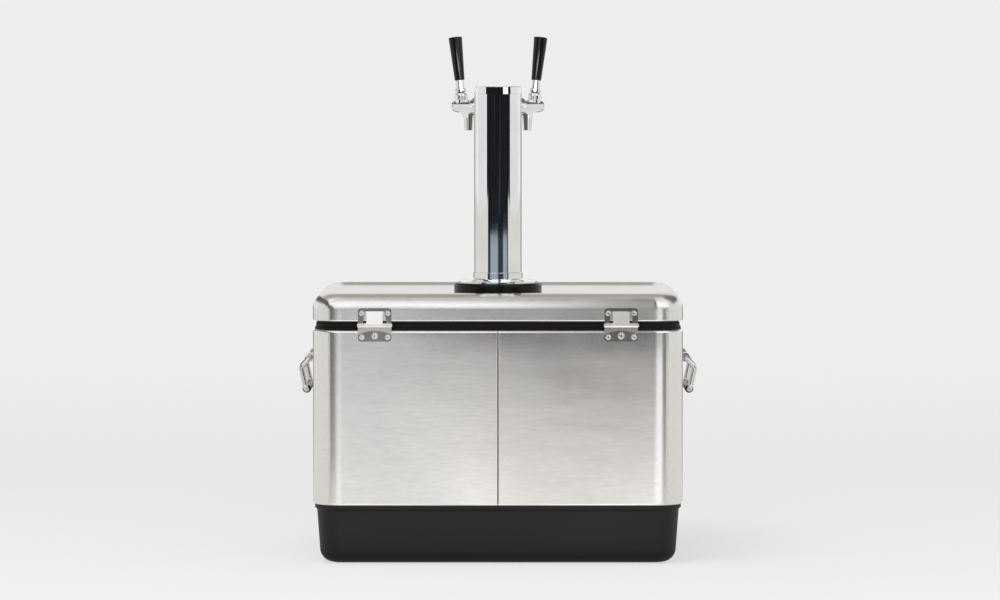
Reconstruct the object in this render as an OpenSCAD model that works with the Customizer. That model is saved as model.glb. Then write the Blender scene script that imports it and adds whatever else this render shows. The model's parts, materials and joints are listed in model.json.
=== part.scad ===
// Portable keg cooler: an insulated steel-belted chest that carries a two-tap draft tower on its lid.
// Millimetres, +Z up. The origin is the middle of the face that the chest stands on.
// The hinge side faces -Y. The latch and the two taps face +Y. Left is -X and right is +X.

/* [Chest] */
// Width of the steel belt, side to side
body_w = 590; // [500:1:720]
// Depth of the steel belt, hinge side to latch side
body_d = 412; // [360:1:520]
// Radius of the upright corners at the belt's face
corner_r = 48; // [44:1:60]
// Height of the moulded base
base_h = 93; // [84:0.5:130]
// Wall of the moulded base
base_t = 3; // [2:0.5:4]
// How far the base wall stands in from the belt's face, at its top
base_in = 6; // [5:0.5:9]
// How much further the base wall stands in at its foot
base_taper = 4.5; // [0:0.5:8]
// Radius round the foot of the base
base_edge_r = 22; // [12:1:24]
// Height of the lip that the belt stands on
base_lip_h = 5; // [3:0.5:8]
// How far that lip stands in from the belt's face
base_lip_in = 2.6; // [2:0.2:4]
// Height of the steel belt
belt_h = 279.5; // [220:0.5:360]
// Sheet of the belt and of the lid
sheet_t = 0.8; // [0.6:0.1:1.2]
// Bend at the belt's upper and lower edges
hem_r = 4; // [2:0.5:5]
// Width of the flanges that are bent in at the sheet's edges
hem_w = 9; // [7:0.5:12]
// Gap between the bent-in ends of the belt, at the seam
seam_gap = 1.2; // [0.8:0.1:2]
// Bend at each end of the belt, at the seam
seam_r = 2; // [1.5:0.1:3]
// Depth of the ends that are bent in at the seam
seam_leg = 7; // [5:0.5:10]
// Insulated wall, from the belt's face to the inside of the liner
wall_t = 38; // [34:1:42]
// Height of the inside floor above the ground
floor_h = 42; // [36:1:60]
// Wall of the liner
liner_t = 3; // [2:0.5:4]
// Radius of the liner's upright corners, inside
liner_r = 36; // [24:1:50]
// Radius round the liner's floor, inside
liner_edge_r = 9; // [5:1:14]

/* [Rim and lid] */
// Height of the plastic rim above the belt
rim_h = 10; // [8:0.5:14]
// Height of the rim's lower lip
rim_lip_h = 3.6; // [2:0.2:5]
// How far the rim's lower lip stands in from the belt's face
rim_lip_in = 3.4; // [3:0.2:5]
// How far the rim's upper part stands in from the belt's face
rim_in = 5.2; // [5:0.2:9]
// Width of the rim's upper part
rim_w = 23; // [18:1:26]
// Gap between the belt and the lid
lid_gap = 14; // [12:0.5:18]
// Height of the lid
lid_h = 44; // [36:1:60]
// Radius round the lid's upper edge
lid_edge_r = 24; // [12:1:26]
// Flat border between the lid's rounded edge and its pressed panel
panel_border = 1; // [0.5:0.5:6]
// Depth of the pressed panel
panel_drop = 4; // [1:0.5:6]
// Run of the slope down to the panel
panel_run = 7; // [4:0.5:10]
// Bend at the lid's lower edge
lid_hem_r = 2.4; // [1.8:0.2:4]
// Wall of the lid's plastic inside
lid_liner_t = 2.5; // [2:0.5:4]
// Depth of the plug under the lid that reaches into the chest
plug_h = 14; // [8:1:20]
// How far the plug stands in from the belt's face
plug_in = 45; // [43:1:60]
// Radius of the plug's upright corners
plug_r = 30; // [20:1:50]
// Width of the soft seal under the lid
seal_w = 14; // [8:1:18]

/* [Hinges] */
// Distance between the middles of the two hinges
hinge_span = 390; // [260:1:420]
// Width of a hinge
hinge_w = 53; // [46:1:64]
// Height of the pin's axis above the belt
hinge_rise = 8.3; // [7:0.1:10]
// Upper leaf, from the pin's axis to its top
leaf_up = 27; // [26:0.5:32]
// Lower leaf, from the pin's axis to its foot
leaf_down = 26; // [25:0.5:34]
// Sheet of the leaves and of the latch
leaf_t = 1.5; // [1:0.1:2]
// Radius of the leaves' corners
leaf_r = 5; // [2:0.5:7]
// Diameter of the knuckles
knuckle_d = 7.4; // [6.6:0.2:9]
// Length of the two end knuckles
end_knuckle = 8.8; // [7:0.2:11]
// Diameter of the hinge pin
pin_d = 4; // [3:0.1:4.4]
// Width of the window in the upper leaf
window_w = 35; // [32:0.5:36]
// Width of the stop tongue that stands in the window
tongue_w = 26; // [20:0.5:28]
// Room between the tongue's free end and the middle knuckle
tongue_room = 0.9; // [0.6:0.1:1.5]
// Distance between the two small screws of a leaf
leaf_screw_span = 40.6; // [40:0.2:44]
// Head of the small screws
screw_head_d = 9.5; // [7:0.5:10]
// Head of the large domed screw of the lower leaf
dome_head_d = 12.4; // [10:0.2:14]

/* [Latch] */
// Width of the latch plates
latch_w = 70; // [66:1:80]
// Width of the hasp
hasp_w = 40; // [36:1:44]
// Length of the hasp below its pin
hasp_len = 57; // [55:1:66]
// Width of the hasp's slot
hasp_slot_w = 24; // [18:1:28]
// Height of the latch pin above the lid's lower edge
latch_rise = 9; // [8:0.5:12]
// Distance of the latch pin from the lid's face
latch_out = 6.4; // [6:0.2:8]
// Height of the catch that the slot drops over
catch_out = 3.2; // [2.4:0.2:4]

/* [Side handles] */
// Distance between the arms of a bail
bail_span = 146; // [120:1:180]
// Diameter of the bail's rod
bail_d = 9; // [6:0.5:10]
// Pivot of the bail below the belt's upper edge
bail_drop = 52; // [40:1:90]
// Pivot of the bail away from the belt's face
bail_out = 8.6; // [8.6:0.2:12]
// Run of the bail's upper arm, out and down alike
bail_bow = 14.5; // [12:0.5:22]
// Length of the bail's lower arm
bail_arm = 38; // [24:1:44]
// Angle at which the lower arm runs back in
bail_tuck = 12; // [5:1:20]
// Bend radius of the bail's rod
bail_bend = 8; // [7:0.5:9]
// Diameter of the sleeve on the bail
grip_d = 13.5; // [11:0.5:16]
// Length of the sleeve on the bail
grip_len = 112; // [80:1:120]
// Diameter of the bracket's ears
ear_d = 14; // [13:0.5:17]
// Length of the bracket's ears
ear_len = 14; // [10:1:18]

/* [Drain] */
// Drain's place towards the latch side
drain_y = 92; // [0:1:120]
// Bore of the drain
drain_bore = 16; // [12:0.5:20]
// Wall of the drain's tube
drain_wall = 3; // [2:0.5:4]
// Diameter of the pocket that the drain sits in
drain_pocket_d = 56; // [52:1:60]
// Depth of that pocket from the belt's face
drain_pocket = 23; // [22:0.5:26]
// Length of the drain's nose
drain_nose = 10; // [8:0.5:12]
// Diameter of the drain's cap
drain_cap_d = 34; // [32:0.5:38]
// Number of finger ribs round the cap
drain_ribs = 14; // [8:1:18]

/* [Draft tower] */
// Gap between the black ring and the edge of the lid's panel on the hinge side
ring_gap = 1.5; // [1:0.5:40]
// Diameter of the column
tower_d = 76.2; // [70:0.1:90]
// Wall of the column
tower_t = 1.5; // [1:0.1:2.5]
// Height of the tower above the lid's panel
tower_h = 331.5; // [280:1:420]
// Diameter of the black ring under the tower
ring_d = 141; // [134:1:150]
// Height of the black ring
ring_h = 17.5; // [9:0.5:24]
// Radius round the top of the black ring
ring_edge_r = 4.5; // [2:0.5:7]
// Diameter of the tower's flange
flange_d = 126; // [120:1:130]
// Edge height of the tower's flange
flange_t = 3; // [2:0.5:5]
// Rise of the flange from its edge to the collar
flange_rise = 2.5; // [1:0.5:5]
// Wall of the collar that holds the column
collar_t = 1.4; // [1:0.1:2.5]
// Height of the collar above the flange
collar_h = 11; // [8:0.5:16]
// Height of the cap's rim
cap_h = 12.5; // [8:0.5:18]
// Rise of the cap's domed top
cap_dome = 2; // [1:0.2:4]
// Bore for the beer lines, through the lid into the tower
line_bore = 50; // [40:1:52]
// Wall of the sleeve round the beer lines
line_sleeve_t = 2; // [1.5:0.5:3]
// Bolt circle of the four flange screws
flange_pcd = 106; // [102:1:110]

/* [Faucets] */
// Angle between the two faucets
tap_spread = 90; // [84:1:120]
// Shanks' axis below the tower's top
tap_drop = 31.5; // [30:0.5:60]
// Diameter of the shank
shank_d = 22; // [20:0.5:24]
// Bore of the shank
shank_bore = 13; // [12.6:0.2:14]
// Diameter of the saddle and the coupling nut
nut_d = 29.4; // [28:0.2:32]
// Saddle's thickness in front of the column
saddle_t = 3; // [2:0.5:5]
// Length of the coupling nut
nut_len = 10; // [9:0.5:14]
// Diameter of the faucet's barrel
barrel_d = 20; // [19:0.5:22]
// Faucet's front end from the tower's axis
tap_reach = 102; // [100:0.5:110]
// Lever's pivot from the tower's axis
lever_reach = 84; // [82:0.5:86]
// Lever's pivot above the shank's axis
lever_rise = 18; // [17:0.5:20]
// Lean of the lever when the tap is shut
lever_lean = 8.5; // [0:0.5:10]
// Diameter of the lever's ball
ball_d = 14; // [13:0.2:15]
// Diameter of the bonnet
bonnet_d = 21.4; // [21:0.2:24]
// Diameter of the lever's collar
lever_collar_d = 18.6; // [16:0.2:19]
// Spout's axis from the tower's axis
spout_reach = 67; // [65:0.5:70]
// Diameter of the spout where it leaves the barrel
spout_top_d = 15.6; // [13:0.2:17]
// Diameter of the spout's end
spout_end_d = 13; // [11:0.2:14]
// Bore of the spout
spout_bore = 9.6; // [8:0.2:10]
// Spout's end below the shank's axis
spout_drop = 39; // [30:0.5:50]
// Diameter of the handle at its foot
handle_foot_d = 16; // [13:0.2:17]
// Diameter of the handle near its top
handle_top_d = 22; // [18:0.2:28]
// Length of the handle
handle_len = 69.5; // [50:1:110]
// Length of the ferrule under the handle
ferrule_len = 12.5; // [9:0.5:18]

/* [Fits] */
// Room between pieces that are set in beside each other
fit = 0.3; // [0.2:0.05:0.5]
// Room round a pin or a shaft that turns or slides
run = 0.06; // [0.04:0.01:0.1]

/* [Hidden] */
$fn = 72;
over = 1;
rod_step = 0.02;

belt_top = base_h + belt_h;
rim_top = belt_top + rim_h;
lid_low = belt_top + lid_gap;
lid_top = lid_low + lid_h;
deck_z = lid_top - panel_drop;
panel_r = corner_r - lid_edge_r - panel_border - panel_run;
panel_turn = tan(atan(panel_drop / panel_run) / 2);
rear_y = -body_d / 2;
front_y = body_d / 2;
side_x = body_w / 2;

// Base wall, as distances from a corner's middle and heights
base_top_r = corner_r - base_in;
base_foot_r = base_top_r - base_taper;
base_lip_r = corner_r - base_lip_in;
base_lip_z = base_h - base_lip_h;
base_wall_z = base_lip_z - (base_in - base_lip_in);

// Chest's inside
inner_w = body_w - 2 * wall_t;
inner_d = body_d - 2 * wall_t;
liner_out_r = liner_r + liner_t;
liner_flange_in = hem_w + 2 * over;
liner_flange_r = liner_out_r + wall_t - liner_t - liner_flange_in;
foam_top = belt_top - liner_t;

// Lid's inside
lid_liner_z = lid_low + sheet_t + fit / 2;
lid_liner_in = lid_hem_r + fit;
plug_w = body_w - 2 * plug_in;
plug_d = body_d - 2 * plug_in;
plug_z = lid_liner_z - plug_h;
seal_in = hem_w + fit;

// Hinges
hinge_z = belt_top + hinge_rise;
hinge_out = knuckle_d / 2 + 0.1;
hinge_y = rear_y - hinge_out;
mid_knuckle = hinge_w - 2 * (end_knuckle + fit);
leaf_shoulder = knuckle_d / 2 + 2 * fit;
tongue_root = leaf_up - 5;
tongue_tip = 0.6;
tongue_lap = 3;
pin_proud = 1;
pin_head_d = pin_d + 1.6;
screw_d = 4;
screw_len = 13;
dome_d = 6;
upper_screw_up = 18.7;
lower_screw_down = 18.8;
dome_down = 16.7;
screw_head_h = 2.6;
dome_head_h = 4.2;

// Latch
latch_z = lid_low + latch_rise;
latch_y = front_y + latch_out;
latch_knuckle_d = 7;
latch_pin_d = 3.6;
latch_mid = 0.6 * hasp_w;
latch_plate_low = lid_hem_r - latch_rise;
latch_plate_high = lid_h - lid_edge_r - latch_rise;
latch_screw_span = latch_w - 14;
latch_screw_up = (latch_plate_low + latch_plate_high) / 2;
hasp_slot_h = 12;
hasp_slot_low = 12;
hasp_lip = 5;
catch_h = 24;
catch_z = latch_z - hasp_len + hasp_slot_low + hasp_slot_h / 2;
catch_tongue_w = hasp_slot_w - 4;
catch_tongue_h = hasp_slot_h - 4;
catch_slope = 2;

// Side handles
bail_z = belt_top - bail_drop;
bail_x = side_x + bail_out;
ear_y = bail_span / 2 - bail_bend - ear_len / 2 - 2 * fit;
bracket_t = 1.8;
bracket_h = 26;
bracket_r = 6;
bracket_len = bail_span - 2 * bail_bend + 26;
bracket_screw_y = bracket_len / 2 - 7;
bracket_screw_z = bail_z + bracket_h / 2 - 6.5;
bail_turn = 45 + bail_tuck;
bail_foot = [
    bail_x + bail_bow - bail_arm * sin(bail_tuck),
    bail_z - bail_bow - bail_arm * cos(bail_tuck)
];

// Drain, with distances from the chest's middle towards its left side
drain_z = floor_h + drain_bore / 2 + 1;
drain_r = drain_bore / 2 + drain_wall;
drain_seat = side_x - drain_pocket;
drain_flange_r = drain_r + 5;
drain_flange_t = 2.5;
drain_washer_t = 2;
drain_inside = 7;
drain_cap_t = 2.5;
drain_rib_d = 3;
drain_flange_low = drain_seat + drain_washer_t;
drain_flange_high = drain_flange_low + drain_flange_t;
drain_nose_end = drain_flange_high + drain_nose;

// Tower and faucets, with heights above the lid's panel and distances from the tower's axis
tower_y = rear_y + corner_r - panel_r + ring_gap + ring_d / 2;
tower_r = tower_d / 2;
flange_top = ring_h + flange_t + flange_rise;
collar_top = flange_top + collar_h;
tube_foot = ring_h + flange_t;
tube_top = tower_h - cap_h;
tap_h = tower_h - tap_drop;
cap_plug_h = tube_top - tap_h - nut_d / 2 - 2 * fit;
cap_plug_t = 2;
sleeve_r = line_bore / 2 + line_sleeve_t;
flange_screw_d = 5;
saddle_x = tower_r + saddle_t;
nut_x = saddle_x + fit;
nut_end = nut_x + nut_len;
nut_lip = 2;
neck_r = barrel_d / 2 - 1;
shank_in = 20;
shank_end = nut_end - nut_lip - 3;
tap_collar_x = shank_end + fit;
seat_x = nut_end + 2.5;
seat_len = 4;
seat_r = 3.6;
chamber_r = barrel_d / 2 - 3.2;
chamber_end = tap_reach - 8;
spout_flare = 16;
spout_blend = 13;
socket_r = ball_d / 2 + fit;
socket_wall = 1.7;
socket_top = lever_rise - 0.8;
bonnet_low = barrel_d / 2 + 0.8;
bonnet_top = lever_rise + 2.5;
lever_stem_d = 6;
lever_tail_d = 3.2;
lever_tail = 18.5;
lever_stud = 8;
swing_r = bonnet_d / 2 + 0.1;
lever_collar_top = 12;
ferrule_top = lever_collar_top + ferrule_len;
ferrule_d = 13.8;
collar_low = 3.8;
collar_high = 9.4;
valve_shaft_d = 4.4;
valve_head_len = 16;
valve_slot = 7.6;
valve_slot_x = lever_reach - lever_tail * sin(lever_lean) + 0.7;
washer_t = 2.6;
washer_r = shank_bore / 2 - 0.5;

// What is inside the tower, along a shank from the tower's axis
lock_nut_x = 25;
lock_nut_end = 31;
lock_nut_r = 15;
spacer_d = nut_d - 1.4;
tail_flange = 2;
tail_d = 9;
tail_bore = 5;
tail_bend = 6;
tail_drop = 26;
tail_run = 3;
tail_x = shank_in - tail_flange - tail_run - tail_bend;
barb_d = 10.6;
barb_step = 4;
hose_nut_r = 13;
hose_nut_lip = 2.2;

steel = "#c9c7c4";
chrome = "#dfe3e8";
black = "#1d1d1f";
white = "#ecebe6";
foam = "#e8d9a8";
rubber = "#2b2b2c";

// Shared shapes

module strip(low, high) translate(low) square(high - low);

module block(low, high) translate(low) cube(high - low);

module quarter_disc(r, right, up)
    intersection() {
        circle(r);
        translate([right ? 0 : -r, up ? 0 : -r]) square(r);
    }

module quarter_band(r, t, right, up)
    difference() {
        quarter_disc(r, right, up);
        circle(r - t);
    }

module rounded_rect(w, d, r) {
    square([w - 2 * r, d], center = true);
    for (side = [0, 1]) mirror([side, 0]) {
        strip([w / 2 - r, r - d / 2], [w / 2, d / 2 - r]);
        translate([w / 2 - r, d / 2 - r]) quarter_disc(r, true, true);
        translate([w / 2 - r, r - d / 2]) quarter_disc(r, true, false);
    }
}

module slab(w, d, r, low, high) translate([0, 0, low]) linear_extrude(high - low) rounded_rect(w, d, r);

// Carries an outline round a rounded rectangle
// The outline's x is the distance from a corner's middle, and its y the height
module carry_round(w, d, r)
    for (turn = [0, 180]) rotate(turn) {
        translate([w / 2 - r, d / 2 - r, 0]) rotate_extrude(angle = 90) children();
        translate([r - w / 2, d / 2 - r, 0]) rotate(90) rotate_extrude(angle = 90) children();
        translate([w / 2 - r, d / 2 - r, 0]) rotate([90, 0, 0]) linear_extrude(d - 2 * r) children();
        translate([r - w / 2, d / 2 - r, 0]) rotate([90, 0, 90]) linear_extrude(w - 2 * r) children();
    }

// The flat middle that closes a shape made by carry_round
module middle(w, d, r, low, high)
    block([r - w / 2, r - d / 2, low], [w / 2 - r, d / 2 - r, high]);

module tube(outer_d, inner_d, low, high)
    translate([0, 0, low]) difference() {
        cylinder(d = outer_d, h = high - low);
        translate([0, 0, -over]) cylinder(d = inner_d, h = high - low + 2 * over);
    }

// A rod along +Z. Each step is a straight length, then a bend, rolled about the rod from +X
// The straights are a hair thinner than the bends, and reach into them
module rod_run(steps, d, bend, i = 0) {
    length = steps[i][0];
    lap = sqrt(bend * rod_step);
    low = i > 0 ? -lap : 0;
    high = i < len(steps) - 1 ? length + lap : length;
    translate([0, 0, low]) cylinder(d = d - 2 * rod_step, h = high - low);
    if (i < len(steps) - 1) translate([0, 0, length]) rotate(steps[i][2]) translate([bend, 0, 0]) {
        rotate([90, 0, 180]) rotate_extrude(angle = steps[i][1]) translate([bend, 0]) circle(d = d);
        rotate([0, steps[i][1], 0]) translate([-bend, 0, 0]) rod_run(steps, d, bend, i + 1);
    }
}

// A domed head on a plain shank. The head's seat is at the origin and the shank runs down -Z
module domed_screw(head_d, head_h, shank_d, len) {
    ball_r = (head_d * head_d / 4 + head_h * head_h) / (2 * head_h);
    slot = head_d / 7;
    difference() {
        intersection() {
            translate([0, 0, head_h - ball_r]) sphere(ball_r);
            cylinder(d = head_d + 2 * over, h = head_h + over);
        }
        for (turn = [0, 90]) rotate(turn)
            translate([0, 0, head_h]) cube([head_d / 2, slot, head_h], center = true);
    }
    translate([0, 0, -len]) cylinder(d = shank_d, h = len);
}

module facing_rear() rotate([90, 0, 0]) children();

module facing_front() rotate([-90, 0, 0]) children();

module facing_right() rotate([0, 90, 0]) children();

// The chest

module base_outline(t) {
    strip([0, t], [base_foot_r - base_edge_r, base_edge_r]);
    translate([base_foot_r - base_edge_r, base_edge_r]) quarter_disc(base_edge_r - t, true, false);
    polygon([
        [0, base_edge_r],
        [base_foot_r - t, base_edge_r],
        [base_top_r - t, base_wall_z],
        [base_lip_r - t, base_lip_z],
        [base_lip_r - t, base_h + (t > 0 ? over : 0)],
        [0, base_h + (t > 0 ? over : 0)]
    ]);
}

module drain_axis() translate([0, drain_y, drain_z]) rotate([0, -90, 0]) children();

module base_shell()
    color(black) difference() {
        union() {
            carry_round(body_w, body_d, corner_r) difference() {
                base_outline(0);
                base_outline(base_t);
            }
            middle(body_w, body_d, corner_r, 0, base_t);
            drain_axis() translate([0, 0, drain_seat - base_t])
                cylinder(d = drain_pocket_d + 2 * base_t, h = drain_pocket + base_t - base_in - base_taper);
        }
        drain_axis() translate([0, 0, drain_seat]) cylinder(d = drain_pocket_d, h = drain_pocket + over);
        drain_axis() translate([0, 0, side_x - wall_t]) cylinder(r = drain_r + fit, h = wall_t);
    }

module belt_outline() {
    straight = [base_h + hem_r, belt_top - hem_r];
    strip([corner_r - sheet_t, straight[0]], [corner_r, straight[1]]);
    translate([corner_r - hem_r, straight[1]]) quarter_band(hem_r, sheet_t, true, true);
    translate([corner_r - hem_r, straight[0]]) quarter_band(hem_r, sheet_t, true, false);
    strip([corner_r - hem_w, belt_top - sheet_t], [corner_r - hem_r, belt_top]);
    strip([corner_r - hem_w, base_h], [corner_r - hem_r, base_h + sheet_t]);
}

module steel_belt() {
    low = base_h + hem_r;
    high = belt_top - hem_r;
    half = seam_gap / 2 + seam_r;
    color(steel) difference() {
        union() {
            difference() {
                carry_round(body_w, body_d, corner_r) belt_outline();
                block([-half, rear_y - over, low], [half, rear_y + seam_r, high]);
            }
            for (side = [0, 1]) mirror([side, 0, 0])
                translate([0, rear_y, low]) linear_extrude(high - low) {
                    translate([half, seam_r]) quarter_band(seam_r, sheet_t, false, false);
                    strip([seam_gap / 2, seam_r], [seam_gap / 2 + sheet_t, seam_leg]);
                }
        }
        block(
            [-seam_gap / 2, rear_y - over, base_h - over],
            [seam_gap / 2, rear_y + hem_w + over, belt_top + over]
        );
        chest_screw_places() translate([0, 0, -hem_w]) cylinder(d = screw_d + fit, h = hem_w + over);
        dome_screw_places() translate([0, 0, -hem_w]) cylinder(d = dome_d + fit, h = hem_w + over);
    }
}

module liner_outline(grow) {
    r = liner_r + grow;
    edge = liner_edge_r + grow;
    z = floor_h - grow;
    strip([0, z], [r - edge, z + edge]);
    translate([r - edge, z + edge]) quarter_disc(edge, true, false);
    strip([0, z + edge], [r, belt_top]);
}

module liner_solid(grow) {
    w = inner_w + 2 * grow;
    d = inner_d + 2 * grow;
    carry_round(w, d, liner_r + grow) liner_outline(grow);
    middle(w, d, liner_r + grow, floor_h - grow, belt_top);
}

module liner()
    color(white) difference() {
        union() {
            carry_round(inner_w + 2 * liner_t, inner_d + 2 * liner_t, liner_out_r) {
                difference() {
                    liner_outline(liner_t);
                    liner_outline(0);
                }
                strip([liner_out_r, foam_top], [liner_flange_r, belt_top]);
            }
            middle(inner_w + 2 * liner_t, inner_d + 2 * liner_t, liner_out_r, floor_h - liner_t, floor_h);
        }
        drain_axis() translate([0, 0, inner_w / 2 - liner_edge_r]) cylinder(r = drain_r + fit, h = wall_t);
    }

module foam_outline() {
    lower_r = base_foot_r - base_t - fit;
    lip_r = corner_r - hem_w - fit;
    face_r = corner_r - sheet_t - fit;
    polygon([
        [0, base_t + fit],
        [lower_r - base_edge_r, base_t + fit],
        [lower_r, base_edge_r + base_t],
        [base_top_r - base_t - fit, base_wall_z],
        [lip_r, base_wall_z + 2],
        [lip_r, base_h + hem_r],
        [face_r, base_h + hem_r + 2],
        [face_r, belt_top - hem_r - fit],
        [lip_r, belt_top - hem_r - fit],
        [lip_r, foam_top - fit],
        [0, foam_top - fit]
    ]);
}

module foam_core()
    color(foam) difference() {
        union() {
            carry_round(body_w, body_d, corner_r) foam_outline();
            middle(body_w, body_d, corner_r, base_t + fit, foam_top - fit);
        }
        liner_solid(liner_t + fit);
        drain_axis() translate([0, 0, inner_w / 2 - drain_inside - fit])
            cylinder(r = drain_r + fit, h = wall_t + drain_inside);
        drain_axis() translate([0, 0, drain_seat - base_t - fit])
            cylinder(d = drain_pocket_d + 2 * base_t + 2 * fit, h = wall_t);
        block(
            [-seam_gap / 2 - seam_r - fit, rear_y, base_h],
            [seam_gap / 2 + seam_r + fit, rear_y + seam_leg + fit, belt_top]
        );
        chest_screw_places() translate([0, 0, -screw_len - over])
            cylinder(d = screw_d + fit, h = screw_len);
        dome_screw_places() translate([0, 0, -screw_len - over])
            cylinder(d = dome_d + fit, h = screw_len);
    }

module top_rim()
    color(black) carry_round(body_w, body_d, corner_r) {
        strip([corner_r - wall_t + 2, belt_top], [corner_r - rim_lip_in, belt_top + rim_lip_h]);
        strip([corner_r - rim_in - rim_w, belt_top + rim_lip_h], [corner_r - rim_in, rim_top]);
    }

// The drain, along its own axis

module drain_spout()
    color(black) drain_axis() difference() {
        union() {
            translate([0, 0, inner_w / 2 - drain_inside])
                cylinder(r = drain_r, h = drain_nose_end - inner_w / 2 + drain_inside);
            translate([0, 0, drain_flange_low]) cylinder(r = drain_flange_r, h = drain_flange_t);
        }
        cylinder(d = drain_bore, h = side_x);
    }

module drain_washer()
    color(rubber) drain_axis()
        tube(2 * drain_flange_r, 2 * (drain_r + run), drain_seat, drain_flange_low);

module drain_cap() {
    low = drain_flange_high + fit;
    high = drain_nose_end + fit + drain_cap_t;
    color(black) drain_axis() difference() {
        union() {
            translate([0, 0, low]) cylinder(d = drain_cap_d - drain_rib_d / 2, h = high - low);
            for (i = [0 : drain_ribs - 1]) rotate(i * 360 / drain_ribs)
                translate([(drain_cap_d - drain_rib_d) / 2, 0, low])
                    cylinder(d = drain_rib_d, h = high - low - over);
        }
        translate([0, 0, low - over]) cylinder(r = drain_r + run, h = drain_nose_end + fit - low + over);
    }
}

// The hinges, in a frame with the pin's axis along X at the origin, the chest towards +Y

module hinge_places(right) translate([(right ? 1 : -1) * hinge_span / 2, hinge_y, hinge_z]) children();

module leaf_plate(low, high, w)
    block([-w / 2, hinge_out - leaf_t, low], [w / 2, hinge_out, high]);

module leaf_sheet(reach, up)
    translate([0, hinge_out, 0]) facing_rear() linear_extrude(leaf_t) {
        z = up ? [leaf_shoulder, reach] : [-reach, -leaf_shoulder];
        strip([-hinge_w / 2, up ? z[0] : z[0] + leaf_r], [hinge_w / 2, up ? z[1] - leaf_r : z[1]]);
        strip(
            [leaf_r - hinge_w / 2, up ? z[1] - leaf_r : z[0]],
            [hinge_w / 2 - leaf_r, up ? z[1] : z[0] + leaf_r]
        );
        for (side = [0, 1]) mirror([side, 0])
            translate([hinge_w / 2 - leaf_r, up ? z[1] - leaf_r : z[0] + leaf_r])
                quarter_disc(leaf_r, true, up);
    }

module leaf_holes(z, d)
    for (side = [-1, 1]) translate([side * leaf_screw_span / 2, hinge_out + over, z])
        facing_rear() cylinder(d = d, h = leaf_t + 2 * over);

module knuckle_bore()
    translate([-hinge_w, 0, 0]) facing_right() cylinder(d = pin_d + 2 * run, h = 2 * hinge_w);

// The stop tongue, bent out of the window's upper edge and down past the middle knuckle
module tongue() {
    root_y = hinge_out - leaf_t;
    tip_y = -knuckle_d / 2 - tongue_room;
    rotate([90, 0, 90]) linear_extrude(tongue_w, center = true) polygon([
        [hinge_out, tongue_root + tongue_lap],
        [root_y, tongue_root + tongue_lap],
        [root_y, tongue_root],
        [tip_y - leaf_t, tongue_tip],
        [tip_y, tongue_tip],
        [hinge_out, tongue_root]
    ]);
}

module hinge_upper_leaf()
    color(steel) union() {
        difference() {
            union() {
                leaf_sheet(leaf_up, true);
                for (side = [0, 1]) mirror([side, 0, 0]) {
                    block(
                        [hinge_w / 2 - end_knuckle, hinge_out - leaf_t, 0],
                        [hinge_w / 2, hinge_out, leaf_shoulder]
                    );
                    translate([hinge_w / 2 - end_knuckle, 0, 0]) facing_right()
                        cylinder(d = knuckle_d, h = end_knuckle);
                }
            }
            knuckle_bore();
            block([-window_w / 2, -knuckle_d, -knuckle_d], [window_w / 2, knuckle_d, tongue_root]);
            leaf_holes(upper_screw_up, screw_d + fit);
        }
        tongue();
    }

module hinge_lower_leaf()
    color(steel) difference() {
        union() {
            leaf_sheet(leaf_down, false);
            leaf_plate(-leaf_shoulder, 0, mid_knuckle);
            translate([-mid_knuckle / 2, 0, 0]) facing_right() cylinder(d = knuckle_d, h = mid_knuckle);
        }
        knuckle_bore();
        leaf_holes(-lower_screw_down, screw_d + fit);
        translate([0, hinge_out + over, -dome_down]) facing_rear()
            cylinder(d = dome_d + fit, h = leaf_t + 2 * over);
    }

module hinge_pin()
    color(steel) {
        translate([-hinge_w / 2 - pin_proud, 0, 0]) facing_right()
            cylinder(d = pin_d, h = hinge_w + 2 * pin_proud);
        translate([hinge_w / 2 + fit, 0, 0]) facing_right() cylinder(d = pin_head_d, h = pin_proud);
    }

// The screws: each place has its seat at the origin and its shank down -Z

module leaf_screw_places(z)
    for (side = [-1, 1], hole = [-1, 1])
        translate([side * hinge_span / 2 + hole * leaf_screw_span / 2, rear_y - leaf_t, hinge_z + z])
            facing_rear() children();

module chest_screw_places() {
    leaf_screw_places(-lower_screw_down) children();
    for (hole = [-1, 1]) translate([hole * latch_screw_span / 2, front_y + leaf_t, catch_z])
        facing_front() children();
    for (side = [0, 1], hole = [-1, 1]) mirror([side, 0, 0])
        translate([side_x + bracket_t, hole * bracket_screw_y, bracket_screw_z]) facing_right() children();
}

module dome_screw_places()
    for (side = [-1, 1]) translate([side * hinge_span / 2, rear_y - leaf_t, hinge_z - dome_down])
        facing_rear() children();

module lid_screw_places() {
    leaf_screw_places(upper_screw_up) children();
    for (hole = [-1, 1])
        translate([hole * latch_screw_span / 2, front_y + leaf_t, latch_z + latch_screw_up])
            facing_front() children();
}

module chest_screws()
    color(steel) chest_screw_places() domed_screw(screw_head_d, screw_head_h, screw_d, screw_len);

module hinge_dome_screws()
    color(steel) dome_screw_places() domed_screw(dome_head_d, dome_head_h, dome_d, screw_len);

module lid_screws()
    color(steel) lid_screw_places() domed_screw(screw_head_d, screw_head_h, screw_d, screw_len);

// The side handles, on the right side. The left ones are their mirror image

module on_side(right) mirror([right ? 0 : 1, 0, 0]) children();

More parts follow.
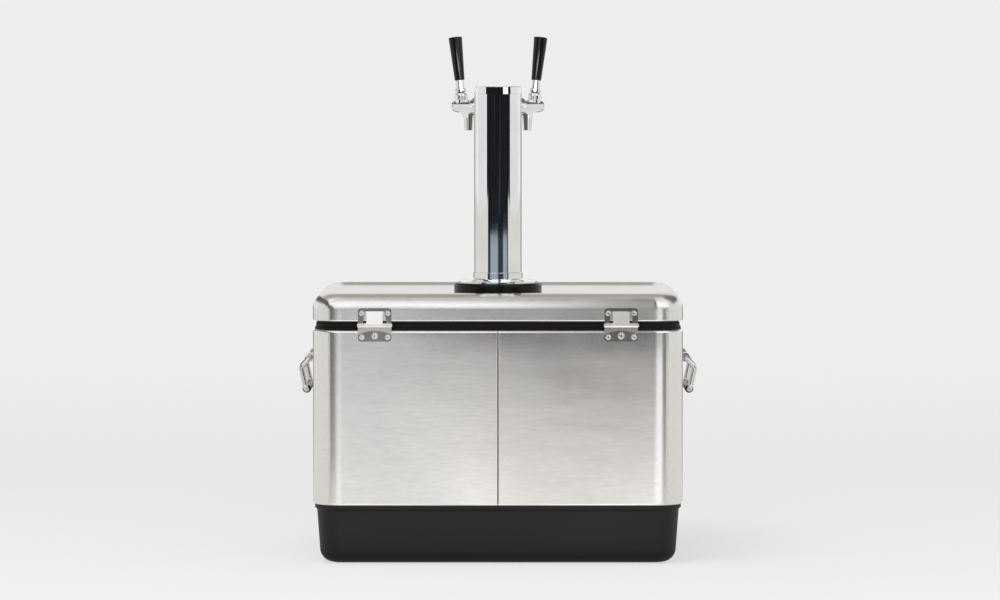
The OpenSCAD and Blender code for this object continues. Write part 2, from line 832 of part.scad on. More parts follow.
module handle_bracket()
    color(steel) difference() {
        union() {
            translate([side_x, 0, bail_z]) rotate([90, 0, 90]) linear_extrude(bracket_t)
                rounded_rect(bracket_len, bracket_h, bracket_r);
            for (side = [-1, 1]) translate([0, side * ear_y - ear_len / 2, bail_z]) {
                translate([bail_x, 0, 0]) facing_front() cylinder(d = ear_d, h = ear_len);
                block([side_x, 0, -ear_d / 2 + 1], [bail_x, ear_len, ear_d / 2 - 1]);
            }
        }
        translate([bail_x, -bail_span, bail_z]) facing_front()
            cylinder(d = bail_d + 2 * run, h = 2 * bail_span);
        for (hole = [-1, 1]) translate([side_x - over, hole * bracket_screw_y, bracket_screw_z])
            facing_right() cylinder(d = screw_d + fit, h = bracket_t + 2 * over);
    }

module handle_bail() {
    pin_y = ear_y - ear_len / 2 - 2;
    turn_run = bail_bend * tan(bail_turn / 2);
    pin = bail_span / 2 - pin_y - bail_bend;
    upper = bail_bow * sqrt(2) - bail_bend - turn_run;
    lower = bail_arm - bail_bend - turn_run;
    color(steel) translate([bail_x, pin_y, bail_z]) facing_front() rotate(45) rod_run([
        [pin, 90, 0],
        [upper, bail_turn, 90],
        [lower, 90, -90],
        [bail_span - 2 * bail_bend, 90, 0],
        [lower, bail_turn, 90],
        [upper, 90, -90],
        [pin]
    ], bail_d, bail_bend);
}

module handle_grip()
    color(black) translate([bail_foot[0], -grip_len / 2, bail_foot[1]]) facing_front()
        tube(grip_d, bail_d + 2 * run, 0, grip_len);

// The latch, in a frame with its pin along X at the origin, the chest towards -Y

module latch_frame() translate([0, latch_y, latch_z]) children();

module latch_bore()
    translate([-latch_w / 2, 0, 0]) facing_right() cylinder(d = latch_pin_d + 2 * run, h = latch_w);

module latch_bracket() {
    end = (hasp_w - latch_mid) / 2 - fit;
    color(steel) latch_frame() difference() {
        union() {
            translate([0, -latch_out, latch_screw_up]) facing_front() linear_extrude(leaf_t)
                rounded_rect(latch_w, latch_plate_high - latch_plate_low, leaf_r);
            for (side = [0, 1]) mirror([side, 0, 0]) translate([hasp_w / 2 - end, 0, 0]) {
                facing_right() cylinder(d = latch_knuckle_d, h = end);
                block([0, -latch_out, -leaf_t], [end, 0, leaf_t]);
            }
        }
        latch_bore();
        for (hole = [-1, 1]) translate([hole * latch_screw_span / 2, -latch_out - over, latch_screw_up])
            facing_front() cylinder(d = screw_d + fit, h = leaf_t + 2 * over);
    }
}

module latch_hasp() {
    lip_z = hasp_lip - hasp_len;
    slot_z = hasp_slot_low - hasp_len;
    color(steel) latch_frame() difference() {
        union() {
            translate([-latch_mid / 2, 0, 0]) facing_right() cylinder(d = latch_knuckle_d, h = latch_mid);
            block([-latch_mid / 2, -leaf_t / 2, -latch_knuckle_d], [latch_mid / 2, leaf_t / 2, 0]);
            block([-hasp_w / 2, -leaf_t / 2, lip_z], [hasp_w / 2, leaf_t / 2, -latch_knuckle_d]);
            rotate([90, 0, 90]) linear_extrude(hasp_w, center = true) polygon([
                [-leaf_t / 2, lip_z],
                [leaf_t / 2, lip_z],
                [leaf_t / 2 + hasp_lip, lip_z - hasp_lip],
                [hasp_lip - leaf_t / 2, lip_z - hasp_lip]
            ]);
        }
        latch_bore();
        block([-hasp_slot_w / 2, -leaf_t, slot_z], [hasp_slot_w / 2, leaf_t, slot_z + hasp_slot_h]);
    }
}

module latch_pin()
    color(steel) latch_frame() translate([-hasp_w / 2 - pin_proud, 0, 0]) facing_right()
        cylinder(d = latch_pin_d, h = hasp_w + 2 * pin_proud);

module latch_catch()
    color(steel) translate([0, front_y, catch_z]) difference() {
        union() {
            facing_front() linear_extrude(leaf_t) rounded_rect(latch_w, catch_h, leaf_r);
            rotate([90, 0, 90]) linear_extrude(catch_tongue_w, center = true) polygon([
                [leaf_t / 2, catch_tongue_h / 2],
                [leaf_t + catch_out, catch_tongue_h / 2 - catch_slope],
                [leaf_t + catch_out, -catch_tongue_h / 2],
                [leaf_t / 2, -catch_tongue_h / 2]
            ]);
        }
        for (hole = [-1, 1]) translate([hole * latch_screw_span / 2, -over, 0])
            facing_front() cylinder(d = screw_d + fit, h = leaf_t + 2 * over);
    }

// The lid

module lid_outline() {
    edge = corner_r - lid_edge_r;
    turn = sheet_t * panel_turn;
    polygon([
        [0, deck_z],
        [panel_r, deck_z],
        [panel_r + panel_run, lid_top],
        [edge, lid_top],
        [edge, lid_top - sheet_t],
        [panel_r + panel_run + turn, lid_top - sheet_t],
        [panel_r + turn, deck_z - sheet_t],
        [0, deck_z - sheet_t]
    ]);
    translate([edge, lid_top - lid_edge_r]) quarter_band(lid_edge_r, sheet_t, true, true);
    strip([corner_r - sheet_t, lid_low + lid_hem_r], [corner_r, lid_top - lid_edge_r]);
    translate([corner_r - lid_hem_r, lid_low + lid_hem_r]) quarter_band(lid_hem_r, sheet_t, true, false);
    strip([corner_r - hem_w, lid_low], [corner_r - lid_hem_r, lid_low + sheet_t]);
}

module tower_frame() translate([0, tower_y, deck_z]) children();

module line_hole(r)
    tower_frame() translate([0, 0, plug_z - deck_z - over]) cylinder(r = r, h = deck_z - plug_z + 2 * over);

module flange_screw_places(z)
    tower_frame() for (i = [0 : 3]) rotate(45 + 90 * i) translate([flange_pcd / 2, 0, z]) children();

module lid_shell()
    color(steel) difference() {
        union() {
            carry_round(body_w, body_d, corner_r) lid_outline();
            middle(body_w, body_d, corner_r, deck_z - sheet_t, deck_z);
        }
        line_hole(sleeve_r + fit);
        lid_screw_places() translate([0, 0, -hem_w]) cylinder(d = screw_d + fit, h = hem_w + over);
        flange_screw_places(-over * 2) cylinder(d = flange_screw_d + fit, h = over * 4);
    }

module lid_foam() {
    gap = sheet_t + fit;
    top = lid_top - gap;
    deck = deck_z - gap;
    slope_r = panel_r + gap * panel_turn;
    low = lid_liner_z + lid_liner_t + fit;
    r = lid_edge_r - gap;
    face_r = corner_r - gap;
    skin = lid_liner_t + fit;
    color(foam) difference() {
        union() {
            carry_round(body_w, body_d, corner_r) {
                polygon([
                    [0, low],
                    [face_r, low],
                    [face_r, top - r],
                    [face_r - r, top - r],
                    [face_r - r, top],
                    [slope_r + panel_run, top],
                    [slope_r, deck],
                    [0, deck]
                ]);
                translate([face_r - r, top - r]) quarter_disc(r, true, true);
            }
            middle(body_w, body_d, corner_r, low, deck);
            slab(plug_w - 2 * skin, plug_d - 2 * skin, plug_r - skin, plug_z + skin, low + over);
        }
        line_hole(sleeve_r + fit);
        lid_screw_places() translate([0, 0, -screw_len - over]) cylinder(d = screw_d + fit, h = screw_len);
        flange_screw_places(-screw_len) cylinder(d = flange_screw_d + fit, h = screw_len + over);
    }
}

module lid_liner() {
    w = body_w - 2 * lid_liner_in;
    d = body_d - 2 * lid_liner_in;
    color(white) difference() {
        union() {
            slab(w, d, corner_r - lid_liner_in, lid_liner_z, lid_liner_z + lid_liner_t);
            slab(plug_w, plug_d, plug_r, plug_z, lid_liner_z + lid_liner_t);
        }
        slab(
            plug_w - 2 * lid_liner_t, plug_d - 2 * lid_liner_t, plug_r - lid_liner_t,
            plug_z + lid_liner_t, lid_liner_z + lid_liner_t + over
        );
        line_hole(line_bore / 2);
    }
}

module lid_seal()
    color(rubber) carry_round(body_w, body_d, corner_r)
        strip([corner_r - seal_in - seal_w, rim_top + fit], [corner_r - seal_in, lid_liner_z]);

module line_sleeve()
    color(black) tower_frame()
        tube(2 * sleeve_r, line_bore, plug_z + lid_liner_t - deck_z, 0);

// The tower, with heights above the lid's panel

module tower_ring()
    color(black) tower_frame() difference() {
        rotate_extrude() {
            strip([line_bore / 2, 0], [ring_d / 2, ring_h - ring_edge_r]);
            strip([line_bore / 2, ring_h - ring_edge_r], [ring_d / 2 - ring_edge_r, ring_h]);
            translate([ring_d / 2 - ring_edge_r, ring_h - ring_edge_r])
                quarter_disc(ring_edge_r, true, true);
        }
        for (i = [0 : 3]) rotate(45 + 90 * i) translate([flange_pcd / 2, 0, -over])
            cylinder(d = flange_screw_d + fit, h = ring_h + 2 * over);
    }

module tower_flange() {
    collar_r = tower_r + run + collar_t;
    slope_r = flange_d / 2 - 2;
    color(chrome) tower_frame() difference() {
        rotate_extrude() polygon([
            [line_bore / 2, ring_h],
            [flange_d / 2, ring_h],
            [flange_d / 2, ring_h + flange_t - 1],
            [slope_r, ring_h + flange_t],
            [(slope_r + collar_r) / 2, ring_h + flange_t + flange_rise / 3],
            [collar_r + 2, flange_top],
            [collar_r, flange_top + 1],
            [collar_r, collar_top - 0.6],
            [collar_r - 0.6, collar_top],
            [tower_r + run, collar_top],
            [tower_r + run, tube_foot],
            [line_bore / 2, tube_foot]
        ]);
        for (i = [0 : 3]) rotate(45 + 90 * i) translate([flange_pcd / 2, 0, ring_h - over]) {
            cylinder(d = flange_screw_d + fit, h = flange_top);
            translate([0, 0, over + flange_t]) cylinder(d = screw_head_d + 2 * fit, h = flange_top);
        }
    }
}

module tower_screws()
    color(chrome) flange_screw_places(tube_foot)
        domed_screw(screw_head_d, screw_head_h, flange_screw_d, tube_foot + screw_len - over);

module tower_column()
    color(chrome) tower_frame() difference() {
        tube(tower_d, tower_d - 2 * tower_t, tube_foot, tube_top);
        for (right = [true, false]) tap_axis(right) along(0, tower_d, shank_d + 2 * fit);
    }

module tower_cap() {
    draft = 0.8;
    bevel = 0.8;
    line = 0.5;
    steps = 6;
    dome_r = tower_r - draft - bevel;
    plug_r = tower_r - tower_t - run;
    color(chrome) tower_frame() {
        rotate_extrude() polygon(concat(
            [[0, tube_top], [tower_r - line, tube_top], [tower_r, tube_top + line]],
            [[tower_r - draft, tower_h - bevel]],
            [for (i = [steps : -1 : 0]) [dome_r * i / steps, tower_h + cap_dome * (1 - pow(i / steps, 2))]]
        ));
        tube(2 * plug_r, 2 * (plug_r - cap_plug_t), tube_top - cap_plug_h, tube_top + over);
    }
}

// The faucets, in a frame with the shank along +X from the tower's axis

function tap_turn(right) = 90 + (right ? -1 : 1) * tap_spread / 2;

module tap_axis(right) translate([0, 0, tap_h]) rotate(tap_turn(right)) children();

module tap_frame(right) tower_frame() tap_axis(right) children();

module along(from, to, d) translate([from, 0, 0]) facing_right() cylinder(d = d, h = to - from);

module shank()
    color(chrome) difference() {
        union() {
            along(shank_in, shank_end, shank_d);
            difference() {
                along(tower_r - 8, saddle_x, nut_d);
                translate([0, 0, -nut_d]) cylinder(r = tower_r + run, h = 2 * nut_d);
            }
        }
        along(shank_in - over, shank_end + over, shank_bore);
    }

module hex_nut(from, to, r) translate([from, 0, 0]) facing_right() cylinder(r = r, h = to - from, $fn = 6);

module lock_nut()
    difference() {
        hex_nut(lock_nut_x, lock_nut_end, lock_nut_r);
        along(lock_nut_x - over, lock_nut_end + over, shank_d + 2 * run);
    }

module shank_spacer()
    difference() {
        intersection() {
            along(lock_nut_end, tower_r, spacer_d);
            translate([0, 0, -nut_d]) cylinder(r = tower_r - tower_t - run, h = 2 * nut_d);
        }
        along(lock_nut_end - over, tower_r + over, shank_d + 2 * run);
    }

module tail_route(from, extra, d)
    translate([from, 0, 0]) rotate([0, -90, 0])
        rod_run([[from - tail_x - tail_bend, 90, 180], [tail_drop - tail_bend + extra]], d, tail_bend);

module tailpiece()
    difference() {
        union() {
            along(shank_in - tail_flange, shank_in, shank_d - 4);
            tail_route(shank_in - tail_flange, 0, tail_d);
            for (i = [0 : 2]) translate([tail_x, 0, i * barb_step - tail_drop])
                cylinder(d1 = tail_d - 1, d2 = barb_d, h = barb_step - 1);
        }
        tail_route(shank_in + over, over, tail_bore);
    }

module hose_nut() {
    lip = shank_in - tail_flange - hose_nut_lip;
    difference() {
        hex_nut(lip, lock_nut_x - fit, hose_nut_r);
        along(lip - over, lock_nut_x, tail_d + 2 * fit);
        along(shank_in - tail_flange - fit / 2, lock_nut_x, shank_d + 2 * run);
    }
}

module coupling_nut() {
    grips = 6;
    color(chrome) difference() {
        union() {
            along(nut_x + 1, nut_end - 1, nut_d);
            along(nut_x, nut_end, nut_d - 1.6);
        }
        along(nut_x - over, nut_end - nut_lip, shank_d + 2 * run);
        along(nut_x, nut_end + over, 2 * (neck_r + fit));
        for (i = [0 : grips - 1]) rotate([360 / grips * (i + 0.5), 0, 0])
            translate([(nut_x + nut_end) / 2, 0, nut_d / 2 - 1.4]) cylinder(d = 4, h = nut_d);
    }
}

// The barrel as one turned piece, from its collar inside the coupling nut to its domed front
module barrel() {
    r = barrel_d / 2;
    collar_r = shank_d / 2 - fit;
    collar_end = nut_end - nut_lip - fit / 2;
    shoulder = nut_end + 1;
    front = tap_reach - 5;
    front_r = r - 0.8;
    facing_right() rotate_extrude() polygon(concat(
        [[0, tap_collar_x], [collar_r, tap_collar_x], [collar_r, collar_end], [neck_r, collar_end]],
        [[neck_r, shoulder], [r, shoulder + r - neck_r], [r, front - 4], [r - 0.8, front - 3]],
        [[r - 2, front - 2.4], [r - 2, front - 1.2], [front_r, front - 0.8]],
        [for (a = [0 : 15 : 90]) [front_r * cos(a), front + (tap_reach - front) * sin(a)]]
    ));
}

// The spout as a turned piece whose curved flare runs into the barrel, no wider than the spout itself
module spout() {
    r = spout_top_d / 2;
    blend_low = -barrel_d / 2 - 0.8 * spout_blend;
    intersection() {
        translate([spout_reach, 0, 0]) rotate_extrude() polygon(concat(
            [[0, -spout_drop], [spout_end_d / 2 - 0.4, -spout_drop], [spout_end_d / 2, 0.4 - spout_drop]],
            [for (a = [0 : 9 : 90]) [r + spout_flare * (1 - cos(a)), blend_low + spout_blend * sin(a)]],
            [[r + spout_flare, -barrel_d / 5], [0, -barrel_d / 5]]
        ));
        block([nut_end + 1.5, -r, -spout_drop - over], [tap_reach, r, 0]);
    }
}

module faucet_body() {
    tail_room = lever_tail_d / 2 + 0.7;
    slot_back = lever_reach - lever_tail / 2 - 1;
    slot_top = barrel_d / 2 - 0.8;
    socket_slot_back = lever_reach - socket_r - 1.1;
    socket_slot_top = barrel_d / 2 + 1.4;
    color(chrome) difference() {
        union() {
            barrel();
            spout();
            translate([lever_reach, 0, 0]) cylinder(r = socket_r + socket_wall, h = socket_top);
        }
        along(shank_end - over, seat_x, shank_bore);
        along(seat_x - over, seat_x + seat_len + over, 2 * seat_r);
        along(seat_x + seat_len, chamber_end, 2 * chamber_r);
        translate([spout_reach, 0, -spout_drop - over]) cylinder(d = spout_bore, h = spout_drop + over);
        translate([lever_reach, 0, 0]) cylinder(r = socket_r, h = lever_rise);
        block([slot_back, -tail_room, 0], [lever_reach, tail_room, slot_top]);
        block([socket_slot_back, -tail_room, 0], [lever_reach, tail_room, socket_slot_top]);
    }
}

module bonnet()
    color(chrome) translate([lever_reach, 0, 0]) difference() {
        rotate_extrude() polygon([
            [0, bonnet_low],
            [bonnet_d / 2 - 0.6, bonnet_low],
            [bonnet_d / 2, bonnet_low + 0.8],
            [bonnet_d / 2, lever_rise - 0.6],
            [bonnet_d / 2 - 0.4, lever_rise + 1],
            [bonnet_d / 2 - 1.5, bonnet_top],
            [0, bonnet_top]
        ]);
        translate([0, 0, bonnet_low - over])
            cylinder(r = socket_r + socket_wall + run, h = socket_top - bonnet_low + fit + over);
        translate([0, 0, lever_rise]) sphere(ball_d / 2 + fit / 2);
    }

// The lever and what it carries, in a frame with the ball's middle at the origin and the lever along +Z

module lever_frame() translate([lever_reach, 0, lever_rise]) rotate([0, lever_lean, 0]) children();

module lever()
    color(chrome) lever_frame() {
        sphere(d = ball_d);
        translate([0, 0, -lever_tail]) cylinder(d = lever_tail_d, h = lever_tail);
        cylinder(d = lever_stem_d, h = ferrule_top + lever_stud);
        difference() {
            rotate_extrude() polygon([
                [0, collar_low],
                [lever_collar_d / 2 - 0.4, collar_low],
                [lever_collar_d / 2, collar_low + 0.8],
                [lever_collar_d / 2, collar_high - 1],
                [lever_collar_d / 2 - 0.6, collar_high],
                [ferrule_d / 2 - 0.3, collar_high],
                [ferrule_d / 2, collar_high + 0.5],
                [ferrule_d / 2, lever_collar_top],
                [0, lever_collar_top]
            ]);
            sphere(swing_r);
        }
    }

module ferrule()
    color(chrome) lever_frame() difference() {
        rotate_extrude() polygon([
            [0, lever_collar_top],
            [ferrule_d / 2, lever_collar_top],
            [ferrule_d / 2, ferrule_top - 1],
            [ferrule_d / 2 - 0.4, ferrule_top],
            [0, ferrule_top]
        ]);
        cylinder(d = lever_stem_d + 2 * run, h = ferrule_top + over);
    }

module tap_handle()
    color(black) lever_frame() difference() {
        rotate_extrude() polygon([
            [0, ferrule_top],
            [handle_foot_d / 2 - 0.6, ferrule_top],
            [handle_foot_d / 2, ferrule_top + 0.6],
            [handle_top_d / 2, ferrule_top + handle_len - 0.5],
            [handle_top_d / 2 - 0.5, ferrule_top + handle_len],
            [0, ferrule_top + handle_len]
        ]);
        cylinder(d = lever_stem_d + 2 * run, h = ferrule_top + lever_stud + fit);
    }

module valve_shaft() {
    head = valve_slot_x - valve_head_len / 2;
    color(chrome) difference() {
        union() {
            along(seat_x - washer_t - 2, head + over, valve_shaft_d);
            along(seat_x - washer_t - 2, seat_x - washer_t - fit, valve_shaft_d + 3);
            along(head, head + valve_head_len, 2 * (chamber_r - fit));
        }
        block(
            [valve_slot_x - valve_slot / 2, -lever_tail_d / 2 - 0.5, -barrel_d],
            [valve_slot_x + valve_slot / 2, lever_tail_d / 2 + 0.5, barrel_d]
        );
    }
}

module valve_washer()
    color(rubber) difference() {
        along(seat_x - washer_t - fit, seat_x - fit, 2 * washer_r);
        along(seat_x - washer_t - over, seat_x + over, valve_shaft_d + 2 * run);
    }

module both_taps() for (right = [true, false]) tap_frame(right) children();

base_shell();
steel_belt();
foam_core();
liner();
top_rim();
drain_spout();
drain_washer();
drain_cap();
hinge_places(false) hinge_lower_leaf();  // hinge_lower_leaf_left
hinge_places(true) hinge_lower_leaf();  // hinge_lower_leaf_right
hinge_places(false) hinge_pin();  // hinge_pin_left
hinge_places(true) hinge_pin();  // hinge_pin_right
hinge_places(false) hinge_upper_leaf();  // hinge_upper_leaf_left
hinge_places(true) hinge_upper_leaf();  // hinge_upper_leaf_right
chest_screws();
hinge_dome_screws();
lid_screws();
on_side(false) handle_bracket();  // handle_bracket_left
on_side(true) handle_bracket();  // handle_bracket_right
on_side(false) handle_bail();  // handle_bail_left
on_side(true) handle_bail();  // handle_bail_right
on_side(false) handle_grip();  // handle_grip_left
on_side(true) handle_grip();  // handle_grip_right
latch_catch();
latch_bracket();
latch_hasp();
latch_pin();
lid_shell();
lid_foam();
lid_liner();
lid_seal();
line_sleeve();
tower_ring();
tower_flange();
tower_screws();
tower_column();
tower_cap();
tap_frame(false) shank();  // shank_left
tap_frame(true) shank();  // shank_right
color(steel) both_taps() lock_nut();  // shank_lock_nuts
color(black) both_taps() shank_spacer();  // shank_spacers
color(steel) both_taps() tailpiece();  // hose_tailpieces
color(steel) both_taps() hose_nut();  // hose_nuts
tap_frame(false) coupling_nut();  // coupling_nut_left
tap_frame(true) coupling_nut();  // coupling_nut_right
tap_frame(false) faucet_body();  // faucet_body_left
tap_frame(true) faucet_body();  // faucet_body_right
tap_frame(false) bonnet();  // bonnet_left
tap_frame(true) bonnet();  // bonnet_right
tap_frame(false) lever();  // lever_left
tap_frame(true) lever();  // lever_right
tap_frame(false) ferrule();  // ferrule_left
tap_frame(true) ferrule();  // ferrule_right
tap_frame(false) tap_handle();  // tap_handle_left
tap_frame(true) tap_handle();  // tap_handle_right
tap_frame(false) valve_shaft();  // valve_shaft_left
tap_frame(true) valve_shaft();  // valve_shaft_right
tap_frame(false) valve_washer();  // valve_washer_left
tap_frame(true) valve_washer();  // valve_washer_right
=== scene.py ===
"""Portable keg cooler: materials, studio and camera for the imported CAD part."""

import json
import math

import bpy
from mathutils import Euler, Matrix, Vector


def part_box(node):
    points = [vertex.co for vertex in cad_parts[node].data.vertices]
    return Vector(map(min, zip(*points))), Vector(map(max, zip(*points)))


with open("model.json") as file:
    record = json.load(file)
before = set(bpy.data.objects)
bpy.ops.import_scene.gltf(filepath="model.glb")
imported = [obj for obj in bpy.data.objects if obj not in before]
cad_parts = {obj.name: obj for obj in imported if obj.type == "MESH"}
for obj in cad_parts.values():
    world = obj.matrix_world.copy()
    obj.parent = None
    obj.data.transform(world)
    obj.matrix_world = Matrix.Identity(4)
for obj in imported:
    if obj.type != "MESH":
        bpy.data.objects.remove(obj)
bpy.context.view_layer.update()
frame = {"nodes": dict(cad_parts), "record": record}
nodes = frame["nodes"]

DEG = math.pi / 180.0


# Node graphs

def add(tree, kind, props=None, **inputs):
    """Adds a shader node. An input is a socket to link or a value; spaces in its name are written as _."""
    node = tree.nodes.new(kind)
    for name, value in (props or {}).items():
        setattr(node, name, value)
    for name, value in inputs.items():
        key = int(name[1:]) if name[0] == "i" and name[1:].isdigit() else name.replace("_", " ")
        put(tree, value, node.inputs[key])
    return node


def put(tree, value, socket):
    """Links a socket to an input, or sets the input's value."""
    if isinstance(value, bpy.types.NodeSocket):
        tree.links.new(value, socket)
    elif socket.type == "RGBA":
        socket.default_value = (*value[:3], 1.0)
    else:
        socket.default_value = value


def math_node(tree, operation, a, b=0.0):
    return add(tree, "ShaderNodeMath", {"operation": operation}, i0=a, i1=b).outputs[0]


def vector_node(tree, operation, a, **inputs):
    return add(tree, "ShaderNodeVectorMath", {"operation": operation}, i0=a, **inputs)


def both(tree, a, b):
    return math_node(tree, "MULTIPLY", a, b)


def split(tree, vector):
    return add(tree, "ShaderNodeSeparateXYZ", None, i0=vector).outputs


def smooth(tree, value, low, high, start=0.0, end=1.0):
    """Goes smoothly from start to end while value goes from low to high."""
    return add(tree, "ShaderNodeMapRange", {"interpolation_type": "SMOOTHSTEP"}, Value=value,
               From_Min=low, From_Max=high, To_Min=start, To_Max=end).outputs["Result"]


def band(tree, value, low, high, edge):
    """1 between low and high, in degrees, with soft edges."""
    rise = smooth(tree, value, (low - edge) * DEG, (low + edge) * DEG)
    fall = smooth(tree, value, (high - edge) * DEG, (high + edge) * DEG, 1.0, 0.0)
    return both(tree, rise, fall)


def mix_colour(tree, factor, a, b):
    node = add(tree, "ShaderNodeMix", {"data_type": "RGBA", "clamp_factor": True}, Factor=factor, i6=a, i7=b)
    return node.outputs[2]


def mix_vector(tree, factor, a, b):
    return add(tree, "ShaderNodeMix", {"data_type": "VECTOR"}, Factor=factor, i4=a, i5=b).outputs[1]


def mix_shader(tree, factor, a, b):
    node = add(tree, "ShaderNodeMixShader", None, Fac=factor)
    tree.links.new(a.outputs[0], node.inputs[1])
    tree.links.new(b.outputs[0], node.inputs[2])
    return node


def noise(tree, vector, scale, detail=3.0, rough=0.55):
    return add(tree, "ShaderNodeTexNoise", None, Vector=vector, Scale=scale, Detail=detail,
               Roughness=rough).outputs[0]


def stretched(tree, vector, scale):
    return add(tree, "ShaderNodeMapping", None, Vector=vector, Scale=scale).outputs[0]


def scaled(colour, share):
    return [share * c for c in colour]


# Materials

NOISE_SPAN = (0.3, 0.7)                 # the part of a noise's range in which a look changes
BRUSH_ALONG = 75.0                      # brush marks per metre along and across the brushing
BRUSH_ACROSS = 420.0
BRUSH_ROUGH = 0.03                      # how much the roughness changes with the marks and in patches
PATCH_ROUGH = 0.02
BUCKLES = (3.0, 3.0, 13.0)              # waves per metre in a sheet
SIDE_FACE = 0.72                        # a face whose normal has more of X than this is brushed along Y
SMUDGE_SPAN = (0.35, 0.75)
SMUDGE_SHADE = 0.94
HAIRLINES = (60.0, 60.0, 900.0)         # hairlines per metre on polished metal and on plate
HAIRLINE_SPAN = (0.55, 0.8)
PLATE_HAIRLINES = (900.0, 900.0, 90.0)
PLATE_PALER = 1.25
PLATE_ROUGH = (-0.02, 0.04)
# Faces flat by this measure are painted in shade, the rest of a plate in a paler painted sheen.
FLAT_FACE = (0.985, 0.998)              # a plate's face is flat where its normal has this much of Y
MOULD_ROUGH = 0.04
FOAM_CELLS = 420.0                      # cells per metre
FOAM_SHADE = 0.8


def new_tree(owner):
    owner.use_nodes = True
    owner.node_tree.nodes.clear()
    return owner.node_tree


def new_material(name):
    material = bpy.data.materials.new(name)
    tree = new_tree(material)
    shader = add(tree, "ShaderNodeBsdfPrincipled")
    output = add(tree, "ShaderNodeOutputMaterial")
    tree.links.new(shader.outputs[0], output.inputs["Surface"])
    place = add(tree, "ShaderNodeTexCoord").outputs["Object"]
    return material, tree, shader, place


def glow_material(name, fill):
    """A material whose surface shader is made by a function of its tree."""
    material = bpy.data.materials.new(name)
    tree = new_tree(material)
    output = add(tree, "ShaderNodeOutputMaterial")
    tree.links.new(fill(tree).outputs[0], output.inputs["Surface"])
    return material


def wire(tree, shader, **inputs):
    for name, value in inputs.items():
        put(tree, value, shader.inputs[name.replace("_", " ")])


def bump(tree, height, strength, distance, normal=None):
    node = add(tree, "ShaderNodeBump", None, Height=height, Strength=strength, Distance=distance)
    if normal:
        tree.links.new(normal, node.inputs["Normal"])
    return node.outputs[0]


def local_normal(tree):
    normal = add(tree, "ShaderNodeNewGeometry").outputs["Normal"]
    turn = {"vector_type": "NORMAL", "convert_to": "OBJECT"}
    return split(tree, add(tree, "ShaderNodeVectorTransform", turn, i0=normal).outputs[0])


def brushed_steel(name, colour, rough, spread, streak, wave, crown=None):
    """Sheet steel brushed along the sheet, level on upright faces and along X on top, and faintly buckled.

    A crown, from one height to another, leans the sheet back a little more towards its upper edge."""
    material, tree, shader, place = new_material(name)
    on_side = math_node(tree, "GREATER_THAN", math_node(tree, "ABSOLUTE", local_normal(tree)[0]), SIDE_FACE)
    along_x = stretched(tree, place, (BRUSH_ALONG, BRUSH_ACROSS, BRUSH_ACROSS))
    along_y = stretched(tree, place, (BRUSH_ACROSS, BRUSH_ALONG, BRUSH_ACROSS))
    grain_place = mix_vector(tree, on_side, along_x, along_y)
    grain = noise(tree, grain_place, scale=1.0, detail=6.0, rough=0.7)
    fine = noise(tree, grain_place, scale=4.0, detail=3.0, rough=0.6)
    cloud = noise(tree, place, scale=7.0, detail=3.0, rough=0.5)
    shade = add(tree, "ShaderNodeMath", {"operation": "MULTIPLY_ADD"},
                i0=math_node(tree, "SUBTRACT", grain, 0.5), i1=streak, i2=1.0).outputs[0]
    tint = vector_node(tree, "SCALE", colour, Scale=shade).outputs[0]
    direction = mix_vector(tree, on_side, (1, 0, 0), (0, 1, 0))
    turn = {"vector_type": "VECTOR", "convert_from": "OBJECT", "convert_to": "WORLD"}
    tangent = add(tree, "ShaderNodeVectorTransform", turn, i0=direction).outputs[0]
    roughness = math_node(tree, "ADD", smooth(tree, fine, *NOISE_SPAN, -BRUSH_ROUGH, BRUSH_ROUGH),
                          smooth(tree, cloud, *NOISE_SPAN, rough - PATCH_ROUGH, rough + PATCH_ROUGH))
    buckle = noise(tree, stretched(tree, place, BUCKLES), scale=1.0, detail=2.0, rough=0.45)
    sheet = bump(tree, buckle, strength=0.6, distance=wave)
    if crown:
        low, high, depth = crown
        x, _, z = split(tree, place)
        part = add(tree, "ShaderNodeMapRange", None, Value=z, From_Min=low, From_Max=high).outputs[0]
        fall = both(tree, math_node(tree, "POWER", part, 2.0), smooth(tree, x, *CROWN_GROWS))
        sheet = bump(tree, fall, strength=1.0, distance=depth, normal=sheet)
    wire(tree, shader, Base_Color=tint, Metallic=1.0, Roughness=roughness, Anisotropic=spread,
         Anisotropic_Rotation=0.25, Tangent=tangent,
         Normal=bump(tree, grain, strength=0.04, distance=0.0002, normal=sheet))
    return material


def polished(name, colour, rough, mottle, scratch):
    """Plated or polished metal, with faint smudges and hairlines."""
    material, tree, shader, place = new_material(name)
    cloud = noise(tree, place, scale=22.0, detail=4.0, rough=0.6)
    hair = noise(tree, stretched(tree, place, HAIRLINES), scale=1.0, detail=4.0, rough=0.6)
    roughness = math_node(tree, "ADD", smooth(tree, cloud, *SMUDGE_SPAN, rough, rough + mottle),
                          smooth(tree, hair, *HAIRLINE_SPAN, 0.0, scratch))
    tint = mix_colour(tree, smooth(tree, cloud, *NOISE_SPAN), colour, scaled(colour, SMUDGE_SHADE))
    wire(tree, shader, Base_Color=tint, Metallic=1.0, Roughness=roughness)
    return material


